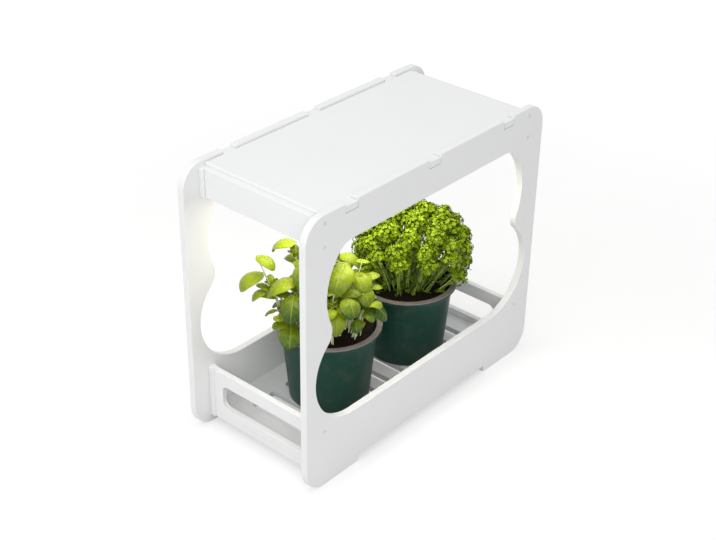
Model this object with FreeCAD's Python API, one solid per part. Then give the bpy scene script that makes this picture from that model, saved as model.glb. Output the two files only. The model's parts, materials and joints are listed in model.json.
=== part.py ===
import FreeCAD, Part
import math
import os

os.makedirs("parts", exist_ok=True)

Vector = FreeCAD.Vector

# Indoor herb planter: a slatted tray and a lamp hood held between two shaped side panels.
# +Z is up and X runs along the planter. The origin is on the resting surface, under the middle.

# Angles
full_turn = 360.0
half_turn = 180.0
right_angle = 90.0

# Overall size
length = 460.0
depth = 210.0
height = 386.0

# Length by which every cutter runs past what it cuts
overrun = 5.0

# Two coordinates closer than this share of an arris are the same place
same_place_share = 0.003

# Side panels
panel_thickness = 10.0
panel_corner_radius = 32.0
board_arris_radius = 1.0
foot_length = 96.0
foot_recess_height = 10.0
notch_width = 22.0
notch_depth = 12.7
notch_end_distance = 78.5

# Opening in each side panel: four tangent arcs at each end, from the bottom edge up to the top edge,
# with heights and radii as shares of the height
opening_end_margin = 17.1
opening_bottom_share = 0.2228
opening_lower_radius_share = 0.1826
opening_waist_radius_share = 0.0648
opening_upper_radius_share = 0.2202
opening_lip_radius_share = 0.0725
opening_waist_turn = 70.0
opening_upper_turn = 66.0
opening_lip_turn = 48.0

# End boards of the tray and aprons of the hood
end_board_thickness = 8.0
end_board_inset = 28.5
tray_end_bottom = 12.0
tray_end_height = 75.5
apron_drop = 7.0
apron_height = 39.5

# Handle slot in each end board
handle_end_distance = 14.0
handle_height = 34.0
handle_bottom = 33.5
handle_corner_radius = 9.0

# Upright corner cleats, outside the end boards' ends
cleat_width = 8.0
cleat_proud = 2.5
cleat_rise = 0.5

# Tray floor: a board with crosswise slots, let into the end boards
floor_top = 23.5
floor_thickness = 8.0
floor_groove_depth = 4.0
floor_play = 0.2
slot_width = 12.0
slot_end_distance = 35.5
slot_pitch_share = 0.0685
slot_count = 11

# Covered screws through the side panels into the cleats and end boards
screw_head_radius = 2.4
screw_head_thickness = 1.4
screw_head_crown = 0.4
screw_shank_radius = 1.5
screw_length = 32.0
screw_edge_distance = 4.5
screw_clearance = 0.05

# Top plate with its tabs
plate_thickness = 9.4
plate_clearance = 0.5
plate_side_gap = 0.8
tab_width = 20.5

# Lamp housing: a shallow sheet metal tray, open below
housing_end_distance = 18.5
housing_side_distance = 30.0
housing_height = 22.0
housing_drop = 19.0
housing_sheet = 1.0
housing_lip = 5.0
ear_width = 60.0
ear_height = 17.0
ear_screw_spacing = 40.0
ear_screw_radius = 1.5
ear_screw_length = 7.0
ear_screw_head_radius = 2.8
ear_screw_head_thickness = 2.0

# Light board with its chips and rivets
board_end_distance = 10.0
board_side_distance = 15.0
board_thickness = 1.6
chip_size = 5.0
chip_thickness = 1.0
chip_columns = 12
chip_rows = 4
chip_pitch_x_share = 0.0788
chip_pitch_y_share = 0.2833
rivet_radius = 1.5
rivet_head_radius = 2.7
rivet_head_thickness = 0.9
rivet_columns_apart = 5

# Diffuser sheet
diffuser_thickness = 2.0
diffuser_play = 0.2

# Supply inlet with its nut, and the lead from it to the light board
inlet_y = 50.0
inlet_drop = 32.0
inlet_barrel_radius = 4.0
inlet_flange_radius = 6.0
inlet_flange_thickness = 2.0
inlet_back_length = 7.5
inlet_socket_radius = 2.8
inlet_socket_depth = 9.5
inlet_pin_radius = 1.0
inlet_pin_setback = 1.0
inlet_clearance = 0.1
nut_sides = 6
nut_across_flats = 11.0
nut_thickness = 2.5
lead_radius = 1.3
lead_end_distance = 5.0
lead_bend_share = 0.45
lead_hole_clearance = 0.7

# Plastic pots
pot_rim_radius = 70.0
pot_height = 111.5
pot_lip_height = 5.0
pot_top_radius = 64.0
pot_base_radius = 54.0
pot_wall = 1.6
pot_base_edge_radius = 3.0
pot_edge_radius = 0.7
pot_foot_height = 1.5
pot_foot_width = 5.0
drain_hole_radius = 4.0
drain_hole_circle = 34.0
drain_hole_count = 6
basil_pot_x = -70.0
basil_pot_y = 4.0
parsley_pot_x = 84.0
parsley_pot_y = 0.0

# Soil
soil_drop = 8.0
soil_crown = 2.0
soil_clearance = 0.1

# Basil: stems that lean out from the soil, and cupped leaves on short stalks
basil_spread = 70.0
basil_height = 130.0
basil_heading = -49.0
basil_stem_foot_radius = 1.7
basil_stem_tip_radius = 1.0
basil_leaf_length = 44.0
basil_leaf_width = 30.0
basil_leaf_thickness = 0.9
basil_cup_radius = 33.0
basil_stalk_radius = 0.8
basil_stalk_length = 5.0
basil_stalk_under = 3.0

# Feet and tips of the basil stems as shares: across and toward the front left in spreads, up in heights
basil_stem_shares = [
    ((0.10, 0.20), (0.22, 0.24, 0.54)),
    ((0.28, 0.10), (0.52, 0.06, 0.58)),
    ((0.42, 0.34), (0.66, 0.30, 0.38)),
    ((0.02, 0.48), (0.06, 0.56, 0.42)),
    ((-0.12, 0.08), (-0.18, 0.14, 0.88)),
    ((-0.28, 0.16), (-0.58, 0.26, 0.44)),
    ((-0.36, 0.02), (-1.06, 0.16, 0.50)),
    ((-0.20, -0.14), (-0.62, -0.10, 0.78)),
    ((-0.36, 0.36), (-0.80, 0.42, 0.26)),
    ((0.18, -0.26), (0.24, -0.44, 0.52)),
    ((-0.10, -0.40), (-0.22, -0.62, 0.56)),
]

# Middles of the basil leaves: stem, then across, toward, up, and length as a share of the full leaf
basil_leaf_shares = [
    (0, 0.26, -0.08, 0.69, 0.62),
    (1, 0.62, -0.09, 0.74, 0.50),
    (1, 0.60, 0.22, 0.63, 0.70),
    (0, 0.20, 0.40, 0.71, 1.00),
    (0, 0.40, 0.72, 0.50, 0.66),
    (1, 0.64, 0.38, 0.52, 0.70),
    (2, 0.84, 0.06, 0.50, 0.62),
    (2, 0.84, 0.38, 0.34, 0.82),
    (3, 0.30, 0.62, 0.40, 0.55),
    (3, 0.02, 0.46, 0.56, 0.65),
    (3, -0.04, 0.78, 0.34, 0.80),
    (2, 0.52, 0.62, 0.24, 0.42),
    (6, -1.42, 0.28, 0.64, 0.80),
    (6, -1.14, 0.36, 0.87, 0.62),
    (6, -1.30, 0.20, 0.44, 0.50),
    (5, -0.86, 0.30, 0.58, 1.00),
    (5, -0.66, 0.68, 0.46, 0.88),
    (7, -0.84, -0.16, 0.90, 0.80),
    (8, -1.06, 0.34, 0.28, 0.45),
    (8, -0.70, 0.78, 0.18, 0.85),
    (4, -0.38, 0.42, 0.78, 0.95),
    (4, 0.00, 0.20, 0.98, 0.75),
    (4, -0.34, -0.16, 0.98, 0.80),
    (8, -0.36, 0.70, 0.34, 0.75),
    (9, 0.36, -0.46, 0.65, 0.70),
    (9, 0.00, -0.78, 0.50, 0.72),
    (10, -0.26, -0.92, 0.62, 0.85),
    (10, -0.52, -0.68, 0.46, 0.75),
    (7, -0.66, -0.48, 0.64, 0.75),
    (9, 0.34, -0.42, 0.42, 0.60),
    (10, -0.14, -0.48, 0.74, 0.70),
    (6, -0.90, 0.00, 0.26, 0.60),
    (1, 0.30, -0.12, 0.52, 0.55),
]

# Curly parsley: lumpy heads in rings, each on a stem
parsley_spread = 72.0
parsley_height = 110.0
parsley_core_radius = 12.5
parsley_lump_radius = 5.8
parsley_lump_reach = 11.6
parsley_lump_rings = ((8, 8.0), (6, 50.0), (1, 90.0))
parsley_stem_foot_radius = 1.2
parsley_stem_tip_radius = 0.8
parsley_heading = -49.0
parsley_lean_share = 0.14

# Rings of parsley heads: heads, places in a full ring, ring radius and stem foot radius in spreads,
# height, and start in places
parsley_ring_shares = [
    (9, 12, 0.95, 0.58, 0.26, 5.00),
    (12, 12, 0.95, 0.44, 0.54, 0.50),
    (8, 8, 0.70, 0.28, 0.77, 0.20),
    (3, 3, 0.29, 0.10, 0.89, 0.60),
]


def box(low, high):
    """Box between two opposite corners."""
    size = high - low
    return Part.makeBox(size.x, size.y, size.z, low)


def mirror_x(shape):
    """The same shape on the other side of the middle plane across the length."""
    return shape.mirror(Vector(), Vector(1, 0, 0))


def mirror_y(shape):
    """The same shape on the other side of the middle plane along the length."""
    return shape.mirror(Vector(), Vector(0, 1, 0))


def polar(radius, angle):
    """Point of the XZ plane at a radius and an angle from +X."""
    return Vector(radius * math.cos(math.radians(angle)), 0, radius * math.sin(math.radians(angle)))


def rounded_outline(corners):
    """Closed outline through pairs of corner point and radius, each corner rounded by its radius."""
    edges = []
    ends = []
    for index, (corner, radius) in enumerate(corners):
        back = (corners[index - 1][0] - corner).normalize()
        ahead = (corners[(index + 1) % len(corners)][0] - corner).normalize()
        half_angle = back.getAngle(ahead) / 2
        first = corner + back * (radius / math.tan(half_angle))
        last = corner + ahead * (radius / math.tan(half_angle))
        if radius:
            inward = (back + ahead).normalize()
            middle = corner + inward * (radius / math.sin(half_angle) - radius)
            edges.append(Part.Arc(first, middle, last).toShape())
        ends.append((first, last))
    for index in range(len(corners)):
        edges.append(Part.makeLine(ends[index - 1][1], ends[index][0]))
    return Part.Wire(Part.__sortEdges__(edges))


def slab(outline, along):
    """Solid swept by a closed outline."""
    return Part.Face(outline).extrude(along)


def turned(corners):
    """Solid of revolution about Z from pairs of profile point and corner radius."""
    return Part.Face(rounded_outline(corners)).revolve(Vector(), Vector(0, 0, 1), full_turn)


def soften(solid, radius, wanted):
    """Rounds the edges whose vertices all satisfy a test."""
    edges = [edge for edge in solid.Edges if all(wanted(vertex.Point) for vertex in edge.Vertexes)]
    return solid.makeFillet(radius, edges)


def near(value, target):
    """Whether two coordinates are the same place."""
    return math.isclose(value, target, abs_tol=board_arris_radius * same_place_share)


def save(name, *shapes):
    """Writes one node."""
    shape = shapes[0] if len(shapes) == 1 else Part.makeCompound(list(shapes))
    shape.exportStep("parts/" + name + ".step")


# Planes shared by the boards
panel_outer = depth / 2
panel_inner = panel_outer - panel_thickness
end_board_reach = length / 2 - end_board_inset
end_board_inner = end_board_reach - end_board_thickness
cleat_outer = end_board_reach + cleat_proud
end_board_half_width = panel_inner - cleat_width
handle_length = 2 * (end_board_half_width - handle_end_distance)
tray_end_top = tray_end_bottom + tray_end_height
apron_top = height - apron_drop
apron_bottom = apron_top - apron_height
notch_floor = height - notch_depth
notch_spacing = length / 2 - notch_end_distance
opening_length = length - 2 * opening_end_margin
opening_bottom = height * opening_bottom_share
opening_lower_radius = height * opening_lower_radius_share
opening_waist_radius = height * opening_waist_radius_share
opening_upper_radius = height * opening_upper_radius_share
opening_lip_radius = height * opening_lip_radius_share
inlet_z = height - inlet_drop
screw_x = end_board_reach - end_board_thickness / 2


# Opening outline of the side panels

def turn_arc(start, heading, radius, turn):
    """Arc that leaves a point along a heading, with its end point and heading; anticlockwise is positive."""
    toward_centre = heading + math.copysign(right_angle, turn)
    centre = start + polar(radius, toward_centre)
    middle = centre - polar(radius, toward_centre + turn / 2)
    end = centre - polar(radius, toward_centre + turn)
    return Part.Arc(start, middle, end).toShape(), end, heading + turn


opening_start = Vector(opening_lower_radius - opening_length / 2, 0, opening_bottom)
opening_lower_turn = half_turn + opening_waist_turn - opening_upper_turn - opening_lip_turn
arc_steps = [
    (opening_lower_radius, -opening_lower_turn),
    (opening_waist_radius, opening_waist_turn),
    (opening_upper_radius, -opening_upper_turn),
    (opening_lip_radius, -opening_lip_turn),
]
opening_edges = []
arc_point = opening_start
arc_heading = half_turn
for arc_radius, arc_turn in arc_steps:
    arc_edge, arc_point, arc_heading = turn_arc(arc_point, arc_heading, arc_radius, arc_turn)
    opening_edges.append(arc_edge)
opening_end = arc_point
opening_edges += [mirror_x(edge) for edge in opening_edges]
opening_edges.append(Part.makeLine(opening_start, Vector(-opening_start.x, 0, opening_start.z)))
opening_edges.append(Part.makeLine(opening_end, Vector(-opening_end.x, 0, opening_end.z)))
opening_outline = Part.Wire(Part.__sortEdges__(opening_edges))


# Screws

def screw(head_face, inward, head_radius, head_thickness, shank_radius, reach, crown):
    """Screw whose head face is centred on a point and whose shank runs inward."""
    head = Part.makeCylinder(head_radius, head_thickness - crown, head_face + inward * crown, inward)
    cap = Part.makeCone(head_radius - crown, head_radius, crown, head_face, inward)
    tip = shank_radius * 2
    shank = Part.makeCylinder(shank_radius, reach - tip, head_face, inward)
    point = Part.makeCone(shank_radius, 0, tip, head_face + inward * (reach - tip), inward)
    return head.multiFuse([cap, shank, point]).removeSplitter()


def screw_hole(head_face, inward, head_radius, head_thickness, shank_radius, reach):
    """Cutter for a screw, larger all round by the clearance."""
    head = Part.makeCylinder(
        head_radius + screw_clearance, head_thickness + overrun, head_face - inward * overrun, inward
    )
    shank = Part.makeCylinder(shank_radius + screw_clearance, reach + screw_clearance, head_face, inward)
    return head.fuse(shank)


panel_screw_heights = [
    tray_end_top - screw_edge_distance,
    apron_bottom + screw_edge_distance,
    apron_top - screw_edge_distance,
]
front_screws = []
front_screw_holes = []
for side in (-1, 1):
    for screw_z in panel_screw_heights:
        place = Vector(side * screw_x, -panel_outer, screw_z)
        inward = Vector(0, 1, 0)
        size = (screw_head_radius, screw_head_thickness, screw_shank_radius, screw_length)
        front_screws.append(screw(place, inward, *size, screw_head_crown))
        front_screw_holes.append(screw_hole(place, inward, *size))
rear_screws = [mirror_y(piece) for piece in front_screws]
screw_holes = front_screw_holes + [mirror_y(piece) for piece in front_screw_holes]


# Side panels

half_length = length / 2
half_recess = half_length - foot_length
panel_corners = [
    (Vector(-half_length, -panel_outer, 0), panel_corner_radius),
    (Vector(-half_recess, -panel_outer, 0), 0),
    (Vector(-half_recess, -panel_outer, foot_recess_height), 0),
    (Vector(half_recess, -panel_outer, foot_recess_height), 0),
    (Vector(half_recess, -panel_outer, 0), 0),
    (Vector(half_length, -panel_outer, 0), panel_corner_radius),
    (Vector(half_length, -panel_outer, height), panel_corner_radius),
    (Vector(-half_length, -panel_outer, height), panel_corner_radius),
]
panel = slab(rounded_outline(panel_corners), Vector(0, panel_thickness, 0))
opening_cutter = slab(opening_outline, Vector(0, panel_thickness, 0))
opening_cutter.translate(Vector(0, -panel_outer, 0))
panel = panel.cut(opening_cutter)
for face_y in (-panel_outer, -panel_inner):
    panel = soften(panel, board_arris_radius, lambda point: near(point.y, face_y))
notch_cutters = [
    box(
        Vector(column * notch_spacing - notch_width / 2, -panel_outer - overrun, notch_floor),
        Vector(column * notch_spacing + notch_width / 2, overrun - panel_inner, height + overrun),
    )
    for column in (-1, 0, 1)
]
panel = panel.cut(Part.makeCompound(notch_cutters + front_screw_holes))
save("side_panel_front", panel)
save("side_panel_rear", mirror_y(panel))
save("panel_screws_front", *front_screws)
save("panel_screws_rear", *rear_screws)


# Tray floor

slot_length = 2 * (panel_inner - slot_end_distance)
slot_pitch = length * slot_pitch_share


def slot(middle_x):
    """Cutter for one crosswise slot with round ends."""
    straight = slot_length / 2 - slot_width / 2
    low_z = floor_top - floor_thickness - overrun
    high_z = floor_top + overrun
    bar = box(
        Vector(middle_x - slot_width / 2, -straight, low_z),
        Vector(middle_x + slot_width / 2, straight, high_z),
    )
    ends = [
        Part.makeCylinder(slot_width / 2, high_z - low_z, Vector(middle_x, end_y, low_z))
        for end_y in (-straight, straight)
    ]
    return bar.multiFuse(ends).removeSplitter()


floor_bottom = floor_top - floor_thickness
floor_board = box(
    Vector(-end_board_inner, -panel_inner, floor_bottom), Vector(end_board_inner, panel_inner, floor_top)
)
floor_tongue_reach = end_board_inner + floor_groove_depth - floor_play
floor_tongues = box(
    Vector(-floor_tongue_reach, -end_board_half_width, floor_bottom),
    Vector(floor_tongue_reach, end_board_half_width, floor_top),
)
slots = [slot((column - (slot_count - 1) / 2) * slot_pitch) for column in range(slot_count)]
floor_board = floor_board.fuse(floor_tongues).removeSplitter().cut(Part.makeCompound(slots))
save("tray_floor", floor_board)


# End boards, aprons and cleats on the left, mirrored to the right

def outer_side(point):
    """Whether a point is on the outward face of the left end pieces."""
    return near(point.x, -end_board_reach) or near(point.x, -cleat_outer)


def cleat(low_z, high_z):
    """Front left corner cleat."""
    low_corner = Vector(-cleat_outer, -panel_inner, low_z)
    strip = box(low_corner, Vector(-end_board_inner, -end_board_half_width, high_z))
    return soften(strip, board_arris_radius, outer_side)


end_board = box(
    Vector(-end_board_reach, -end_board_half_width, tray_end_bottom),
    Vector(-end_board_inner, end_board_half_width, tray_end_top),
)
end_board = soften(end_board, board_arris_radius, lambda point: near(point.z, tray_end_top))
half_handle = handle_length / 2
handle_top = handle_bottom + handle_height
handle_corners = [
    (Vector(-end_board_reach, -half_handle, handle_bottom), handle_corner_radius),
    (Vector(-end_board_reach, half_handle, handle_bottom), handle_corner_radius),
    (Vector(-end_board_reach, half_handle, handle_top), handle_corner_radius),
    (Vector(-end_board_reach, -half_handle, handle_top), handle_corner_radius),
]
end_board = end_board.cut(slab(rounded_outline(handle_corners), Vector(end_board_thickness, 0, 0)))


def handle_rim(point):
    """Whether a point is on the rim of the handle slot."""
    return abs(point.y) <= half_handle and handle_bottom <= point.z <= handle_top


end_board = soften(end_board, board_arris_radius, handle_rim)
groove = box(
    Vector(-end_board_inner - floor_groove_depth, -end_board_half_width - overrun, floor_bottom),
    Vector(overrun - end_board_inner, end_board_half_width + overrun, floor_top + floor_play),
)
left_holes = Part.makeCompound([hole for hole in screw_holes if hole.BoundBox.Center.x < 0])
end_board = end_board.cut(groove).cut(left_holes)
save("tray_end_left", end_board)
save("tray_end_right", mirror_x(end_board))

for part_name, low_z, high_z in (
    ("tray", tray_end_bottom, tray_end_top + cleat_rise),
    ("hood", apron_bottom - cleat_rise, apron_top - cleat_rise),
):
    corner = cleat(low_z, high_z).cut(left_holes)
    save(part_name + "_cleat_front_left", corner)
    save(part_name + "_cleat_rear_left", mirror_y(corner))
    save(part_name + "_cleat_front_right", mirror_x(corner))
    save(part_name + "_cleat_rear_right", mirror_x(mirror_y(corner)))


# Lamp housing with ears that reach the aprons

half_housing = end_board_inner - housing_end_distance
half_housing_width = depth / 2 - housing_side_distance
housing_top = height - housing_drop
housing_bottom = housing_top - housing_height
board_length = 2 * (half_housing - board_end_distance)
board_width = 2 * (half_housing_width - board_side_distance)
chip_pitch_x = board_length * chip_pitch_x_share
chip_pitch_y = board_width * chip_pitch_y_share
housing = box(
    Vector(-half_housing, -half_housing_width, housing_bottom),
    Vector(half_housing, half_housing_width, housing_top),
)
housing_inner_x = half_housing - housing_sheet
housing_inner_y = half_housing_width - housing_sheet
board_seat = housing_top - housing_sheet
housing = housing.cut(
    box(
        Vector(-housing_inner_x, -housing_inner_y, housing_bottom + housing_sheet),
        Vector(housing_inner_x, housing_inner_y, board_seat),
    )
)
mouth_y = housing_inner_y - housing_lip
housing = housing.cut(
    box(
        Vector(-housing_inner_x, -mouth_y, housing_bottom - overrun),
        Vector(housing_inner_x, mouth_y, housing_bottom + housing_sheet),
    )
)
ears = []
for side in (-1, 1):
    root_x = side * housing_inner_x
    tip_x = side * end_board_inner
    fold_x = side * (end_board_inner - housing_sheet)
    ears.append(
        box(
            Vector(min(root_x, tip_x), -ear_width / 2, board_seat),
            Vector(max(root_x, tip_x), ear_width / 2, housing_top),
        )
    )
    ears.append(
        box(
            Vector(min(fold_x, tip_x), -ear_width / 2, housing_top - ear_height),
            Vector(max(fold_x, tip_x), ear_width / 2, housing_top),
        )
    )
housing = housing.multiFuse(ears).removeSplitter()

lamp_screws = []
lamp_screw_holes = []
ear_screw_z = housing_top - ear_height / 2
for side in (-1, 1):
    for across in (-1, 1):
        outward = Vector(side, 0, 0)
        seat = side * (end_board_inner - housing_sheet - ear_screw_head_thickness)
        place = Vector(seat, across * ear_screw_spacing / 2, ear_screw_z)
        reach = ear_screw_head_thickness + housing_sheet + ear_screw_length
        head_size = (ear_screw_head_radius, ear_screw_head_thickness, ear_screw_radius, reach)
        lamp_screws.append(screw(place, outward, *head_size, screw_head_crown))
        bore_radius = ear_screw_radius + screw_clearance
        shank = Part.makeCylinder(bore_radius, reach + screw_clearance, place, outward)
        lamp_screw_holes.append(shank)

board_rivets = []
board_rivet_holes = []
board_bottom = board_seat - board_thickness
for column in (-1, 0, 1):
    for row in (-1, 1):
        rivet_x = column * rivet_columns_apart * chip_pitch_x
        rivet_y = row * chip_pitch_y
        rivet_low = board_bottom - rivet_head_thickness
        body_low = Vector(rivet_x, rivet_y, rivet_low)
        body_height = housing_top - rivet_low
        shank = Part.makeCylinder(rivet_radius, body_height, body_low)
        lower_head = Part.makeCylinder(rivet_head_radius, rivet_head_thickness, body_low)
        upper_head = Part.makeCylinder(
            rivet_head_radius, rivet_head_thickness, Vector(rivet_x, rivet_y, housing_top)
        )
        board_rivets.append(shank.multiFuse([lower_head, upper_head]).removeSplitter())
        board_rivet_holes.append(Part.makeCylinder(rivet_radius + screw_clearance, body_height, body_low))

lead_start = Vector(end_board_inner - inlet_back_length, inlet_y, inlet_z)
lead_hole = Part.makeCylinder(
    lead_radius + lead_hole_clearance,
    housing_sheet + overrun + overrun,
    Vector(housing_inner_x - overrun, inlet_y, inlet_z),
    Vector(1, 0, 0),
)
housing = housing.cut(Part.makeCompound(lamp_screw_holes + board_rivet_holes + [lead_hole]))
save("lamp_housing", housing)
save("lamp_screws", *lamp_screws)
save("board_rivets", *board_rivets)

apron = box(
    Vector(-end_board_reach, -end_board_half_width, apron_bottom),
    Vector(-end_board_inner, end_board_half_width, apron_top),
)
apron = soften(apron, board_arris_radius, lambda point: near(point.x, -end_board_reach))
lamp_holes_left = [hole for hole in lamp_screw_holes if hole.BoundBox.Center.x < 0]
apron = apron.cut(Part.makeCompound([left_holes] + lamp_holes_left))
inlet_hole = Part.makeCylinder(
    inlet_barrel_radius + inlet_clearance,
    end_board_thickness + overrun + overrun,
    Vector(end_board_inner - overrun, inlet_y, inlet_z),
    Vector(1, 0, 0),
)
save("hood_apron_left", apron)
save("hood_apron_right", mirror_x(apron).cut(inlet_hole))


# Light board, chips and diffuser

light_board = box(
    Vector(-board_length / 2, -board_width / 2, board_bottom),
    Vector(board_length / 2, board_width / 2, board_seat),
)
save("light_board", light_board.cut(Part.makeCompound(board_rivet_holes)))

chips = []
for column in range(chip_columns):
    for row in range(chip_rows):
        chip_x = (column - (chip_columns - 1) / 2) * chip_pitch_x
        chip_y = (row - (chip_rows - 1) / 2) * chip_pitch_y
        chips.append(
            box(
                Vector(chip_x - chip_size / 2, chip_y - chip_size / 2, board_bottom - chip_thickness),
                Vector(chip_x + chip_size / 2, chip_y + chip_size / 2, board_bottom),
            )
        )
save("light_chips", *chips)

diffuser_seat = housing_bottom + housing_sheet
diffuser = box(
    Vector(diffuser_play - housing_inner_x, diffuser_play - housing_inner_y, diffuser_seat),
    Vector(
        housing_inner_x - diffuser_play,
        housing_inner_y - diffuser_play,
        diffuser_seat + diffuser_thickness,
    ),
)
save("lamp_diffuser", diffuser)


# Supply inlet, nut and lead

inlet_axis = Vector(1, 0, 0)
inlet_face_x = end_board_reach + inlet_flange_thickness
barrel = Part.makeCylinder(inlet_barrel_radius, inlet_face_x - lead_start.x, lead_start, inlet_axis)
flange = Part.makeCylinder(
    inlet_flange_radius, inlet_flange_thickness, Vector(end_board_reach, inlet_y, inlet_z), inlet_axis
)
socket = Part.makeCylinder(
    inlet_socket_radius,
    inlet_socket_depth + overrun,
    Vector(inlet_face_x - inlet_socket_depth, inlet_y, inlet_z),
    inlet_axis,
)
pin = Part.makeCylinder(
    inlet_pin_radius,
    inlet_socket_depth - inlet_pin_setback,
    Vector(inlet_face_x - inlet_socket_depth, inlet_y, inlet_z),
    inlet_axis,
)
inlet = barrel.fuse(flange).cut(socket).fuse(pin).removeSplitter()
save("supply_inlet", inlet)

nut_corners = []
nut_corner_radius = nut_across_flats / 2 / math.cos(math.pi / nut_sides)
for corner in range(nut_sides):
    angle = math.radians(corner * full_turn / nut_sides)
    nut_corners.append(
        (
            Vector(
                end_board_inner - nut_thickness,
                inlet_y + nut_corner_radius * math.cos(angle),
                inlet_z + nut_corner_radius * math.sin(angle),
            ),
            0,
        )
    )
nut = slab(rounded_outline(nut_corners), Vector(nut_thickness, 0, 0))
nut_bore = Part.makeCylinder(
    inlet_barrel_radius + inlet_clearance,
    nut_thickness + overrun + overrun,
    Vector(end_board_inner - nut_thickness - overrun, inlet_y, inlet_z),
    inlet_axis,
)
save("inlet_nut", nut.cut(nut_bore))

lead_drop_x = board_length / 2 - lead_end_distance
lead_corner = Vector(lead_drop_x, inlet_y, inlet_z)
lead_end = Vector(lead_drop_x, inlet_y, board_bottom)
lead_bend_radius = min(lead_start.x - lead_corner.x, lead_end.z - lead_corner.z) * lead_bend_share
bend_start = lead_corner + Vector(lead_bend_radius, 0, 0)
bend_end = lead_corner + Vector(0, 0, lead_bend_radius)
bend_centre = lead_corner + Vector(lead_bend_radius, 0, lead_bend_radius)
bend_middle = bend_centre + (lead_corner - bend_centre).normalize() * lead_bend_radius
lead_path = Part.Wire(
    [
        Part.makeLine(lead_start, bend_start),
        Part.Arc(bend_start, bend_middle, bend_end).toShape(),
        Part.makeLine(bend_end, lead_end),
    ]
)
lead_section = Part.Wire(Part.makeCircle(lead_radius, lead_start, inlet_axis))
save("lamp_lead", lead_path.makePipeShell([lead_section], True, False))


# Top plate

half_plate = end_board_inner - plate_clearance
plate_top = notch_floor + plate_thickness
plate_half_width = panel_inner - plate_side_gap
plate_corner = Vector(-half_plate, -plate_half_width, notch_floor)
plate = box(plate_corner, Vector(half_plate, plate_half_width, plate_top))
tabs = [
    box(
        Vector(column * notch_spacing - tab_width / 2, -panel_outer, notch_floor),
        Vector(column * notch_spacing + tab_width / 2, panel_outer, plate_top),
    )
    for column in (-1, 0, 1)
]
plate = plate.multiFuse(tabs).removeSplitter()
plate = soften(plate, board_arris_radius, lambda point: near(point.z, plate_top))
save("top_plate", plate)


# Pots and soil

pot_lip_bottom = pot_height - pot_lip_height
pot_floor = pot_foot_height + pot_wall
pot_bore_top = pot_top_radius - pot_wall
pot_bore_base = pot_base_radius - pot_wall
pot_corners = [
    (Vector(0, 0, pot_foot_height), 0),
    (Vector(pot_base_radius - pot_foot_width, 0, pot_foot_height), 0),
    (Vector(pot_base_radius - pot_foot_width, 0, 0), 0),
    (Vector(pot_base_radius, 0, 0), pot_base_edge_radius),
    (Vector(pot_top_radius, 0, pot_height - pot_wall), pot_edge_radius),
    (Vector(pot_rim_radius - pot_wall, 0, pot_height - pot_wall), 0),
    (Vector(pot_rim_radius - pot_wall, 0, pot_lip_bottom), 0),
    (Vector(pot_rim_radius, 0, pot_lip_bottom), pot_edge_radius),
    (Vector(pot_rim_radius, 0, pot_height), pot_edge_radius),
    (Vector(pot_bore_top, 0, pot_height), pot_edge_radius),
    (Vector(pot_bore_base, 0, pot_floor), pot_base_edge_radius),
    (Vector(0, 0, pot_floor), 0),
]
pot = turned(pot_corners)
drains = []
for index in range(drain_hole_count):
    angle = math.radians(index * full_turn / drain_hole_count)
    centre = Vector(drain_hole_circle * math.cos(angle), drain_hole_circle * math.sin(angle), -overrun)
    drains.append(Part.makeCylinder(drain_hole_radius, pot_floor + overrun + overrun, centre))
pot = pot.cut(Part.makeCompound(drains))

soil_edge = pot_height - soil_drop
bore_slope = (pot_bore_top - pot_bore_base) / (pot_height - pot_floor)
soil_low_radius = pot_bore_base - soil_clearance
soil_corners = [
    (Vector(0, 0, pot_floor), 0),
    (Vector(soil_low_radius, 0, pot_floor), pot_base_edge_radius),
    (Vector(soil_low_radius + bore_slope * (soil_edge - pot_floor), 0, soil_edge), 0),
    (Vector(0, 0, soil_edge + soil_crown), 0),
]
soil = turned(soil_corners)


def stand(shape, pot_x, pot_y):
    """Moves a shape from about the pot's own axis to its place on the tray floor."""
    placed = shape.copy()
    placed.translate(Vector(pot_x, pot_y, floor_top))
    return placed


save("basil_pot", stand(pot, basil_pot_x, basil_pot_y))
save("basil_soil", stand(soil, basil_pot_x, basil_pot_y))
save("parsley_pot", stand(pot, parsley_pot_x, parsley_pot_y))
save("parsley_soil", stand(soil, parsley_pot_x, parsley_pot_y))


# Basil

up = Vector(0, 0, 1)


def plant_point(heading, spread, rise, across, toward, raised):
    """Point over the soil from shares of a plant's spread and height, turned to its heading."""
    angle = math.radians(heading)
    side = Vector(math.cos(angle), math.sin(angle), 0)
    front = Vector(math.sin(angle), -math.cos(angle), 0)
    return side * (across * spread) + front * (toward * spread) + up * (soil_edge + raised * rise)


def rod(start, end, start_radius, end_radius):
    """Round rod between two points, straight or tapered."""
    if start_radius == end_radius:
        return Part.makeCylinder(start_radius, (end - start).Length, start, end - start)
    return Part.makeCone(start_radius, end_radius, (end - start).Length, start, end - start)


basil_size = (basil_heading, basil_spread, basil_height)
stem_lines = []
for foot_share, tip_share in basil_stem_shares:
    stem_foot = plant_point(*basil_size, *foot_share, 0)
    stem_tip = plant_point(*basil_size, *tip_share)
    stem_lines.append((stem_foot, stem_tip))
basil_stems = [
    rod(foot, tip, basil_stem_foot_radius, basil_stem_tip_radius).cut(soil) for foot, tip in stem_lines
]

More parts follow.
